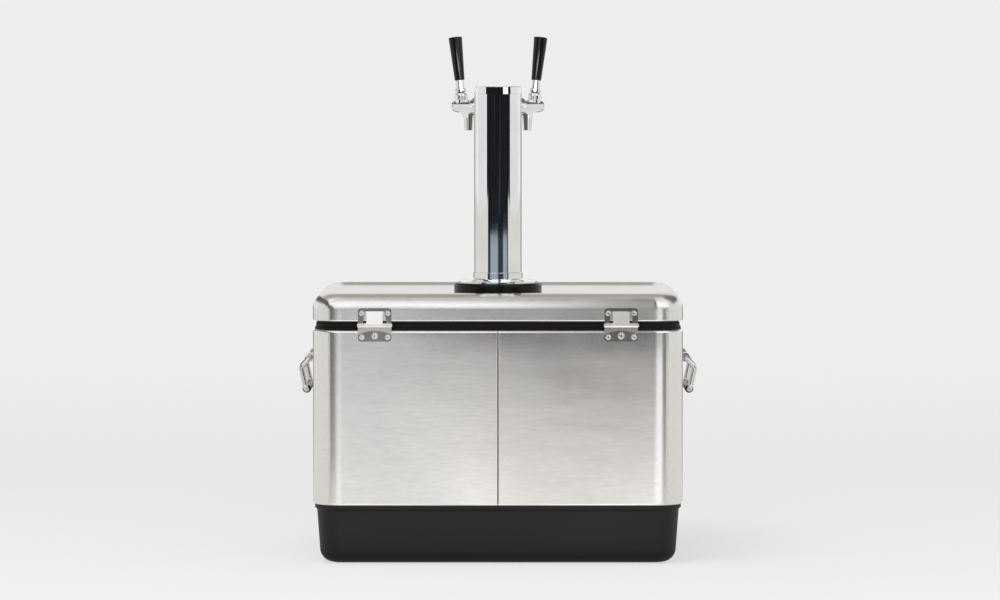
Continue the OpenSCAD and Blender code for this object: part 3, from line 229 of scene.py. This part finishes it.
def stamped(name, face, bend, rough, painted_sheen=None):
    """Stamped plate: faces that look front or back are painted dark as painted shade, bends and edges pale as
    a painted sheen.

    A painted sheen, where given, lies above an arched line: there the plate is painted in the bends' pale
    colour. It is given by how far its middle lies from x = 0, the line's height there and how fast the line
    falls to both sides."""
    material, tree, shader, place = new_material(name)
    # Painted shade and sheen: faces whose normal lies along Y are painted dark, bends and edges pale.
    flat = smooth(tree, math_node(tree, "ABSOLUTE", local_normal(tree)[1]), *FLAT_FACE)
    hair = noise(tree, stretched(tree, place, PLATE_HAIRLINES), scale=1.0, detail=4.0, rough=0.6)
    cloud = noise(tree, place, scale=60.0, detail=3.0, rough=0.6)
    shaded_face = mix_colour(tree, smooth(tree, cloud, *NOISE_SPAN), face, scaled(face, PLATE_PALER))
    tint = mix_colour(tree, flat, bend, shaded_face)
    if painted_sheen:
        # Painted sheen: above the arched line the plate takes the bends' pale colour.
        middle, line, arch = painted_sheen
        x, _, z = split(tree, place)
        aside = math_node(tree, "SUBTRACT", math_node(tree, "ABSOLUTE", x), middle)
        drop = both(tree, both(tree, aside, aside), arch)
        above = math_node(tree, "ADD", math_node(tree, "SUBTRACT", z, line), drop)
        tint = mix_colour(tree, smooth(tree, above, 0.0, SHEEN_EDGE), tint, bend)
    roughness = smooth(tree, hair, *NOISE_SPAN, *(rough + change for change in PLATE_ROUGH))
    wire(tree, shader, Base_Color=tint, Metallic=1.0, Roughness=roughness)
    return material


def moulded(name, colour, rough, grain, depth, coat=0.0, gloss=0.5, vary=0.11):
    """Moulded plastic or rubber with a fine skin."""
    material, tree, shader, place = new_material(name)
    skin = noise(tree, place, scale=grain, detail=3.0, rough=0.6)
    cloud = noise(tree, place, scale=9.0, detail=3.0, rough=0.5)
    patches = smooth(tree, cloud, *NOISE_SPAN)
    tint = mix_colour(tree, patches, scaled(colour, 1 - vary), scaled(colour, 1 + vary))
    roughness = smooth(tree, cloud, *NOISE_SPAN, rough - MOULD_ROUGH, rough + MOULD_ROUGH)
    wire(tree, shader, Base_Color=tint, Roughness=roughness, Coat_Weight=coat, Coat_Roughness=0.06,
         Specular_IOR_Level=gloss, Normal=bump(tree, skin, strength=0.25, distance=depth))
    return material


def foam_block(name, colour):
    """Cut foam with fine cells."""
    material, tree, shader, place = new_material(name)
    cells = add(tree, "ShaderNodeTexVoronoi", None, Vector=place, Scale=FOAM_CELLS).outputs["Distance"]
    tint = mix_colour(tree, cells, colour, scaled(colour, FOAM_SHADE))
    wire(tree, shader, Base_Color=tint, Roughness=0.9,
         Normal=bump(tree, cells, strength=0.5, distance=0.0008))
    return material


_, belt_high = (Vector(corner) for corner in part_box("steel_belt"))
CROWN_H = 0.0505                            # how far the belt's crown reaches down from its upper edge
CROWN_GROWS = (-0.2, 0.12, -0.10, -1.0)     # from one x to another, the crown's share
CROWN_DEPTH = 0.0009
BELT_CROWN = (belt_high.z - CROWN_H, belt_high.z, CROWN_DEPTH)
leaf_low, leaf_high = (Vector(corner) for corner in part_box("hinge_lower_leaf_right"))
SHEEN_LINE_H = 0.0165                             # height of the painted sheen's line above the leaf's foot
SHEEN_EDGE = 0.0015
SHEEN_ARCH = 9.0
# Painted sheen on the lower leaves, above an arched line.
HINGE_PAINTED_SHEEN = ((leaf_low.x + leaf_high.x) / 2, leaf_low.z + SHEEN_LINE_H, SHEEN_ARCH)
# Painted shade: the dark colour given to a hinge plate's faces that look front or back.
SHADED_PLATE_STEEL = (0.34, 0.338, 0.332)

looks = {
    "belt_steel": brushed_steel("belt_steel", (0.86, 0.855, 0.843), rough=0.155, spread=0.86, streak=0.30,
                                wave=0.0006, crown=BELT_CROWN),
    "lid_steel": brushed_steel("lid_steel", (0.83, 0.827, 0.817), rough=0.173, spread=0.9, streak=0.28,
                               wave=0.0001),
    "fitting_steel": polished("fitting_steel", (0.74, 0.735, 0.725), rough=0.10, mottle=0.03, scratch=0.03),
    # The second colour is the painted sheen of bends and edges.
    "hinge_steel": stamped("hinge_steel", SHADED_PLATE_STEEL, (0.86, 0.855, 0.845), rough=0.18),
    # The lower leaves carry the painted sheen as well.
    "hinge_foot_steel": stamped("hinge_foot_steel", SHADED_PLATE_STEEL, (0.86, 0.84, 0.81), rough=0.18,
                                painted_sheen=HINGE_PAINTED_SHEEN),
    "chrome": polished("chrome", (0.90, 0.905, 0.91), rough=0.025, mottle=0.02, scratch=0.02),
    "inner_metal": polished("inner_metal", (0.72, 0.60, 0.36), rough=0.3, mottle=0.08, scratch=0.05),
    "black_plastic": moulded("black_plastic", (0.008, 0.008, 0.0082), rough=0.55, grain=1800.0, depth=0.0003,
                             gloss=0.34),
    "rim_plastic": moulded("rim_plastic", (0.006, 0.006, 0.0062), rough=0.5, grain=1800.0, depth=0.0003,
                           gloss=0.16),
    "ring_plastic": moulded("ring_plastic", (0.004, 0.004, 0.0042), rough=0.24, grain=1500.0, depth=0.00005,
                            gloss=0.22),
    "handle_plastic": moulded("handle_plastic", (0.004, 0.004, 0.0042), rough=0.36, grain=700.0,
                              depth=0.00003, coat=0.5, gloss=0.08),
    "white_plastic": moulded("white_plastic", (0.82, 0.82, 0.80), rough=0.42, grain=900.0, depth=0.0001,
                             vary=0.012),
    "foam": foam_block("foam", (0.78, 0.66, 0.36)),
    "rubber": moulded("rubber", (0.02, 0.02, 0.02), rough=0.7, grain=1200.0, depth=0.0002),
}
own_looks = {"tower_ring": "ring_plastic", "top_rim": "rim_plastic"}
for side in ("left", "right"):
    own_looks["handle_grip_" + side] = "ring_plastic"
    own_looks["hinge_upper_leaf_" + side] = "hinge_steel"
    own_looks["hinge_lower_leaf_" + side] = "hinge_foot_steel"
for entry in frame["record"]["subparts"]:
    mesh = nodes[entry["node"]].data
    mesh.materials.clear()
    mesh.materials.append(looks[own_looks.get(entry["node"], entry["material_slot"])])


# Studio. Bearings go round the part from the camera's side, to the right, and rises go up from the level.
# A band is given by its two limits and its soft edge in degrees. Distances are in metres.

BACKDROP = (0.85, 0.85, 0.85)
AMBIENT = (0.52, 0.52, 0.52)
ROOM = (0.010, 0.011, 0.013)
FLAG_WIDE = (143, 260, 3)
FLAG_TONE = (0.36, 0.36, 0.34)

# Areas that reflections show: the band of bearings, the band of rises and the tone
BACK_TONE = (1.0, 1.0, 1.0)
SIDE_CARDS = ((60, 118, 6), (-20, 30, 4), (0.80, 0.80, 0.80))
LOW_BACK = ((112, 260, 8), (-2, 60, 2), (0.90, 0.90, 0.90))
CEILING = ((96, 260, 6), (38, 95, 9), (0.44, 0.405, 0.36))
FLAGS = (FLAG_WIDE, (-12, 0.8, 0.5), FLAG_TONE)
RIGHT_CORNER = ((84, 152, 6), (25, 62, 4), (0.16, 0.15, 0.14))

# The dark room behind the camera, with paler patches by bearing and rise
ROOM_TURN = (-56, 61, 1)
ROOM_RISE = (-90, 7, 1.5)
ROOM_PATCHES = (9.0, 5.0)
ROOM_PATCH_SPAN = (0.52, 0.72)
ROOM_PATCH_TONE = (0.07, 0.08, 0.095)

# The soft box above the camera: "over" is the angle up from the camera's side, "across" the share of X
BOX_OVER = (8, 94, 3)
BOX_WIDE = (-90, 62, 5)
BOX_RISE = (8, 95, 2)
BOX_TONES = ((1.18, 1.18, 1.19), (0.58, 0.545, 0.50))
BOX_FADE = (34 * DEG, 92 * DEG)
BOX_RIM_ACROSS = (-0.03, -0.01)
BOX_RIM_OVER = (30 * DEG, 60 * DEG)
BOX_RIM_TONE = (1.32, 1.32, 1.32)
BOX_END_ACROSS = (0.014, 0.021)
BOX_END_TURN = (13 * DEG, 17 * DEG)
BOX_END_TONE = (0.22, 0.205, 0.185)

# A dark bar along the left side, which dips towards the camera
BAR_TURN = (-162, -34, 4)
BAR_LEVEL = (24, 47, 4)
BAR_RISE = (1.5 * DEG, 4.0 * DEG)
BAR_DIPS_FROM = -0.13
BAR_DIP = 0.63
BAR_TONE = (0.12, 0.115, 0.105)

# The floor as the camera sees it. Its plain tone is painted light: brighter before the part, dimmer behind
# it, then the backdrop's tone
FLOOR_REACH = 18.0
FLOOR_DROP = 0.0006
FLOOR_COLOUR = (0.93, 0.93, 0.93)
FLOOR_TONES = ((0.89, 0.89, 0.89), (0.805, 0.805, 0.805))
FLOOR_DARKENS = (-0.9, 1.3)
FLOOR_LIGHTENS = (1.3, 5.0)
FLOOR_ENDS = (4.5, 11.0)
SHADOW_FADES = (0.4, 1.2, 0.72, 1.0)        # from one distance to another, the share of the plain tone

# The floor as reflections show it: beside the part, before it, and close round its base, where it is darkened
# as a painted shadow
FRONT_TURN = (-49, 50, 0.7)
BESIDE_TONE = (0.76, 0.74, 0.69)
NEAR_TURN = (-8 * DEG, 8 * DEG)
NEAR_TONES = ((1.18, 1.15, 1.12), (1.04, 1.0, 0.97))
FAR_TURN = (-5 * DEG, 3 * DEG)
FAR_TONES = ((0.54, 0.54, 0.54), (0.03, 0.03, 0.035))
FAR_FROM = (1.6, 5.2)
FLOOR_LIGHTS = (                            # band of bearings, distances between which it fades, tone
    ((-21, -6, 2), (6.5, 8.0), (0.95, 0.95, 0.94)),
    ((16, 36, 2), (8.0, 10.5), (1.3, 1.3, 1.3)),
)
RIGHT_DARK = (41, 54, 3)
LEFT_DARK = (-54, 0, 2)
LEFT_DARK_FADE = (-37 * DEG, -21 * DEG)
DARK_FROM = (0.6, 2.6)
DARK_TONE = (0.17, 0.17, 0.17)
PANES = ((-36, 0, 5), (25, 45, 3))          # streaked panes far in front, by bearing
PANE_STREAKS = 16.0
STREAK_SPAN = (0.40, 0.70)
PANE_TONES = ((0.27, 0.32, 0.39), (0.50, 0.58, 0.68))
PANE_GAP_TONE = (0.035, 0.045, 0.06)
PANES_FROM = (7.4, 8.6)
PANES_TO = (14.6, 15.1)
# Painted shadow: the mirrored floor darkens to this tone close round the base.
CONTACT_SHADOW_REACH = 0.10
CONTACT_SHADOW_TONE = (0.40, 0.40, 0.40)


def bearing(tree, x, y):
    return math_node(tree, "ARCTAN2", x, math_node(tree, "MULTIPLY", y, -1.0))


def make_world():
    """Pale all round: a dark room behind the camera, a soft box above it, side cards and a dim ceiling."""
    world = bpy.data.worlds.new("studio")
    bpy.context.scene.world = world
    tree = new_tree(world)
    x, y, z = split(tree, add(tree, "ShaderNodeTexCoord").outputs["Generated"])
    turn = bearing(tree, x, y)
    wide = math_node(tree, "ABSOLUTE", turn)
    rise = math_node(tree, "ARCSINE", z)
    over = math_node(tree, "ARCTAN2", z, math_node(tree, "MULTIPLY", y, -1.0))
    seen = BACK_TONE
    areas = ((wide, SIDE_CARDS), (wide, LOW_BACK), (wide, CEILING), (turn, RIGHT_CORNER), (wide, FLAGS))
    for way, (bearings, rises, tone) in areas:
        area = both(tree, band(tree, way, *bearings), band(tree, rise, *rises))
        seen = mix_colour(tree, area, seen, tone)

    room = both(tree, band(tree, turn, *ROOM_TURN), band(tree, rise, *ROOM_RISE))
    around = add(tree, "ShaderNodeCombineXYZ", None, X=both(tree, turn, ROOM_PATCHES[0]),
                 Y=both(tree, rise, ROOM_PATCHES[1])).outputs[0]
    patches = smooth(tree, noise(tree, around, scale=1.0, detail=4.0, rough=0.6), *ROOM_PATCH_SPAN)
    seen = mix_colour(tree, room, seen, mix_colour(tree, patches, ROOM, ROOM_PATCH_TONE))

    glow = mix_colour(tree, smooth(tree, over, *BOX_FADE), *BOX_TONES)
    rim = both(tree, smooth(tree, x, *BOX_RIM_ACROSS), smooth(tree, over, *BOX_RIM_OVER, 1.0, 0.0))
    glow = mix_colour(tree, rim, glow, BOX_RIM_TONE)
    past = both(tree, smooth(tree, x, *BOX_END_ACROSS), smooth(tree, turn, *BOX_END_TURN, 1.0, 0.0))
    glow = mix_colour(tree, past, glow, BOX_END_TONE)
    box = both(tree, both(tree, band(tree, over, *BOX_OVER), band(tree, wide, *BOX_WIDE)),
               band(tree, rise, *BOX_RISE))
    seen = mix_colour(tree, box, seen, glow)

    level = math_node(tree, "ARCTAN2", z, math_node(tree, "MULTIPLY", x, -1.0))
    before = math_node(tree, "MAXIMUM", math_node(tree, "SUBTRACT", BAR_DIPS_FROM, y), 0.0)
    level = math_node(tree, "ADD", level, math_node(tree, "MULTIPLY", before, BAR_DIP))
    bar = both(tree, band(tree, turn, *BAR_TURN), band(tree, level, *BAR_LEVEL))
    seen = mix_colour(tree, both(tree, bar, smooth(tree, rise, *BAR_RISE)), seen, BAR_TONE)

    rays = add(tree, "ShaderNodeLightPath").outputs
    mirrored = math_node(tree, "MAXIMUM", rays["Is Glossy Ray"], rays["Is Transmission Ray"])
    colour = mix_colour(tree, mirrored, AMBIENT, seen)
    colour = mix_colour(tree, rays["Is Camera Ray"], colour, BACKDROP)
    shader = add(tree, "ShaderNodeBackground", None, Color=colour, Strength=1.0)
    output = add(tree, "ShaderNodeOutputWorld")
    tree.links.new(shader.outputs[0], output.inputs["Surface"])


def beyond_base(tree, place):
    """How far a place on the floor lies outside the base's box."""
    low, high = (Vector(corner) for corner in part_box("base_shell"))
    apart = vector_node(tree, "SUBTRACT", place, i1=(low + high) / 2).outputs[0]
    apart = vector_node(tree, "ABSOLUTE", apart).outputs[0]
    apart = vector_node(tree, "SUBTRACT", apart, i1=(high - low) / 2).outputs[0]
    apart = vector_node(tree, "MAXIMUM", apart, i1=(0, 0, 0)).outputs[0]
    return vector_node(tree, "LENGTH", apart).outputs["Value"]


def mirrored_floor(tree, place, away, turn):
    """The floor's tones as the belt, the column and the other bright pieces show them, darkened close round
    the base as a painted shadow.
    """
    near = mix_colour(tree, smooth(tree, turn, *NEAR_TURN), *NEAR_TONES)
    far = mix_colour(tree, smooth(tree, turn, *FAR_TURN), *FAR_TONES)
    tone = mix_colour(tree, smooth(tree, away, *FAR_FROM), near, far)
    for bearings, fades, light in FLOOR_LIGHTS:
        area = both(tree, band(tree, turn, *bearings), smooth(tree, away, *fades, 1.0, 0.0))
        tone = mix_colour(tree, area, tone, light)
    left = both(tree, band(tree, turn, *LEFT_DARK), smooth(tree, turn, *LEFT_DARK_FADE, 1.0, 0.0))
    dark = math_node(tree, "ADD", band(tree, turn, *RIGHT_DARK), left)
    tone = mix_colour(tree, both(tree, dark, smooth(tree, away, *DARK_FROM)), tone, DARK_TONE)

    along = add(tree, "ShaderNodeCombineXYZ", None, X=both(tree, turn, PANE_STREAKS)).outputs[0]
    streaks = smooth(tree, noise(tree, along, scale=1.0, detail=3.0, rough=0.7), *STREAK_SPAN)
    panes = math_node(tree, "ADD", *(band(tree, turn, *pane) for pane in PANES))
    panes = mix_colour(tree, panes, PANE_GAP_TONE, mix_colour(tree, streaks, *PANE_TONES))
    tone = mix_colour(tree, smooth(tree, away, *PANES_FROM), tone, panes)
    tone = mix_colour(tree, smooth(tree, away, *PANES_TO), tone, ROOM)

    flags = band(tree, math_node(tree, "ABSOLUTE", turn), *FLAG_WIDE)
    beside = mix_colour(tree, flags, BESIDE_TONE, FLAG_TONE)
    tone = mix_colour(tree, band(tree, turn, *FRONT_TURN), beside, tone)
    contact_shadow = smooth(tree, beyond_base(tree, place), 0.0, CONTACT_SHADOW_REACH, 1.0, 0.0)
    return mix_colour(tree, contact_shadow, tone, CONTACT_SHADOW_TONE)


def floor_shader(tree):
    place = add(tree, "ShaderNodeTexCoord").outputs["Object"]
    away = vector_node(tree, "LENGTH", place).outputs["Value"]
    x, y = split(tree, place)[:2]
    camera = add(tree, "ShaderNodeLightPath").outputs["Is Camera Ray"]
    lit = add(tree, "ShaderNodeBsdfDiffuse", None, Color=FLOOR_COLOUR)
    # Painted light on the plain floor: brighter in front of the part, dimmer behind it.
    back = mix_colour(tree, smooth(tree, y, *FLOOR_DARKENS), *FLOOR_TONES)
    back = mix_colour(tree, smooth(tree, y, *FLOOR_LIGHTENS), back, BACKDROP)
    back = mix_colour(tree, smooth(tree, away, *FLOOR_ENDS), back, BACKDROP)
    plain = add(tree, "ShaderNodeEmission", None, Color=back)
    shown = mix_shader(tree, smooth(tree, away, *SHADOW_FADES), lit, plain)
    tone = mirrored_floor(tree, place, away, bearing(tree, x, y))
    return mix_shader(tree, camera, add(tree, "ShaderNodeEmission", None, Color=tone), shown)


def make_floor():
    """A pale floor: it shows the part's shadow, and runs into the backdrop further away."""
    reach = FLOOR_REACH
    mesh = bpy.data.meshes.new("floor")
    mesh.from_pydata([(-reach, -reach, 0), (reach, -reach, 0), (reach, reach, 0), (-reach, reach, 0)], [],
                     [(0, 1, 2, 3)])
    mesh.materials.append(glow_material("floor", floor_shader))
    floor = bpy.data.objects.new("floor", mesh)
    bpy.context.collection.objects.link(floor)
    floor.location.z = -FLOOR_DROP


# Cards that only reflections show. Places are taken from the pieces that they stand before.

FAR_OFF = 100.0
ARC_STEPS = 26
CAP_ARC = {"reach": 0.30, "turns": (-58.0, 61.0), "heights": (0.010, 0.050)}
CAP_WINDOW = (24, 48, 0.6)
WINDOW_TONE = (1.2, 1.2, 1.2)
STRIP = {"aside": 0.130, "before": 0.483, "heights": (0.075, 0.112), "half": 0.045, "within": 0.525}
STRIP_TONE = (14.0, 14.0, 14.0)
BONNET_CARD = {"reach": 0.5, "turns": (-30.0, 60.0), "below": 0.045, "above": 0.012, "beyond": 0.455}
BONNET_CARD_TONE = (0.62, 0.62, 0.62)
SPOUT_CARD = {"reach": 0.014, "turns": (-8.0, 76.0), "heights": (-0.006, 0.028), "within": 0.05}
SPOUT_CARD_TONE = (0.12, 0.115, 0.10)
MOUTH_H = 0.001                 # vertices this close above the spout's end make its mouth


def card(name, points, faces, colour, beyond=0.0, within=FAR_OFF):
    """A studio card that only mirrors before it see, from distances beyond one length and within another.

    Its colour is a value, or made by a function of its shader's tree."""
    def fill(tree):
        glow = add(tree, "ShaderNodeEmission", None, Color=colour(tree) if callable(colour) else colour)
        length = add(tree, "ShaderNodeLightPath").outputs["Ray Length"]
        seen = both(tree, math_node(tree, "GREATER_THAN", length, beyond),
                    math_node(tree, "LESS_THAN", length, within))
        behind = add(tree, "ShaderNodeNewGeometry").outputs["Backfacing"]
        seen = both(tree, seen, math_node(tree, "SUBTRACT", 1.0, behind))
        return mix_shader(tree, seen, add(tree, "ShaderNodeBsdfTransparent"), glow)

    mesh = bpy.data.meshes.new(name)
    mesh.from_pydata(points, [], faces)
    mesh.materials.append(glow_material(name, fill))
    piece = bpy.data.objects.new(name, mesh)
    bpy.context.collection.objects.link(piece)
    piece.visible_camera = piece.visible_diffuse = piece.visible_shadow = False
    return piece


def arc_card(name, middle, reach, turns, heights, colour, beyond=0.0, within=FAR_OFF):
    """A card bent round an upright axis, between two bearings in degrees and two heights."""
    first, last = turns
    angles = [(first + (last - first) * i / ARC_STEPS) * DEG for i in range(ARC_STEPS + 1)]
    points = [(reach * math.sin(a), -reach * math.cos(a), z) for z in heights for a in angles]
    faces = [(i, i + ARC_STEPS + 1, i + ARC_STEPS + 2, i + 1) for i in range(ARC_STEPS)]
    card(name, points, faces, colour, beyond, within).location = (middle.x, middle.y, 0.0)


def cap_window(tree):
    x, y = split(tree, add(tree, "ShaderNodeTexCoord").outputs["Object"])[:2]
    return mix_colour(tree, band(tree, bearing(tree, x, y), *CAP_WINDOW), ROOM, WINDOW_TONE)


def towards(sign, turns):
    """Bearings towards the tower, for a tap on its left (1) or right (-1)."""
    return sorted(sign * turn for turn in turns)


def make_cards():
    """A dark arc with one window round the tower's cap, and a light, a pale and a dark card for each tap."""
    low, high = (Vector(corner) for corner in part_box("tower_cap"))
    arc_card("cap_arc", (low + high) / 2, CAP_ARC["reach"], CAP_ARC["turns"],
             [high.z + h for h in CAP_ARC["heights"]], cap_window)
    for side, sign in (("left", 1), ("right", -1)):
        low, high = (Vector(corner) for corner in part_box("tap_handle_" + side))
        x = (low.x + high.x) / 2 + sign * STRIP["aside"]
        y = (low.y + high.y) / 2 - STRIP["before"]
        foot, top = (low.z + h for h in STRIP["heights"])
        half = STRIP["half"]
        points = [(x - half, y, foot), (x + half, y, foot), (x + half, y, top), (x - half, y, top)]
        card("strip_" + side, points, [(3, 2, 1, 0)], STRIP_TONE, within=STRIP["within"])

        low, high = (Vector(corner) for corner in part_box("bonnet_" + side))
        heights = (low.z - BONNET_CARD["below"], high.z + BONNET_CARD["above"])
        arc_card("bonnet_card_" + side, (low + high) / 2, BONNET_CARD["reach"],
                 towards(sign, BONNET_CARD["turns"]), heights, BONNET_CARD_TONE, beyond=BONNET_CARD["beyond"])

        body = nodes["faucet_body_" + side]
        corners = [body.matrix_world @ vertex.co for vertex in body.data.vertices]
        foot = min(corner.z for corner in corners)
        mouth = [corner for corner in corners if corner.z < foot + MOUTH_H]
        arc_card("spout_card_" + side, sum(mouth, Vector()) / len(mouth), SPOUT_CARD["reach"],
                 towards(sign, SPOUT_CARD["turns"]), [foot + h for h in SPOUT_CARD["heights"]],
                 SPOUT_CARD_TONE, within=SPOUT_CARD["within"])


# Lamps and camera

LAMP_TARGET = Vector((0, 0, 0.3))
LAMPS = {
    "key": {"place": (-0.9, -1.0, 3.4), "size": (1.5, 1.5), "power": 48.0},
    "fill": {"place": (2.6, -2.2, 2.2), "size": (2.0, 1.8), "power": 10.0},
}
CAMERA_PLACE = (0.0033, -6.2, 0.738)
CAMERA_DOWN = 3.03              # degrees
CAMERA_FOCAL = 3796.0           # in pixels of a picture that is PICTURE_W wide
PICTURE_W = 1000.0
SENSOR_W = 36.0


def soft_box(name, place, size, power):
    light = bpy.data.lights.new(name, "AREA")
    light.shape = "RECTANGLE"
    light.size, light.size_y = size
    light.energy = power
    lamp = bpy.data.objects.new(name, light)
    bpy.context.collection.objects.link(lamp)
    lamp.location = place
    lamp.rotation_euler = (LAMP_TARGET - lamp.location).to_track_quat("-Z", "Y").to_euler()
    lamp.visible_glossy = False
    lamp.visible_camera = False


def make_camera():
    data = bpy.data.cameras.new("camera")
    data.sensor_width = SENSOR_W
    data.lens = CAMERA_FOCAL * SENSOR_W / PICTURE_W
    camera = bpy.data.objects.new("camera", data)
    bpy.context.collection.objects.link(camera)
    camera.location = CAMERA_PLACE
    camera.rotation_euler = Euler((math.radians(90.0 - CAMERA_DOWN), 0.0, 0.0))
    bpy.context.scene.camera = camera


make_world()
make_floor()
make_cards()
for lamp_name, lamp in LAMPS.items():
    soft_box(lamp_name, **lamp)
make_camera()

bpy.context.scene.view_settings.view_transform = "Standard"
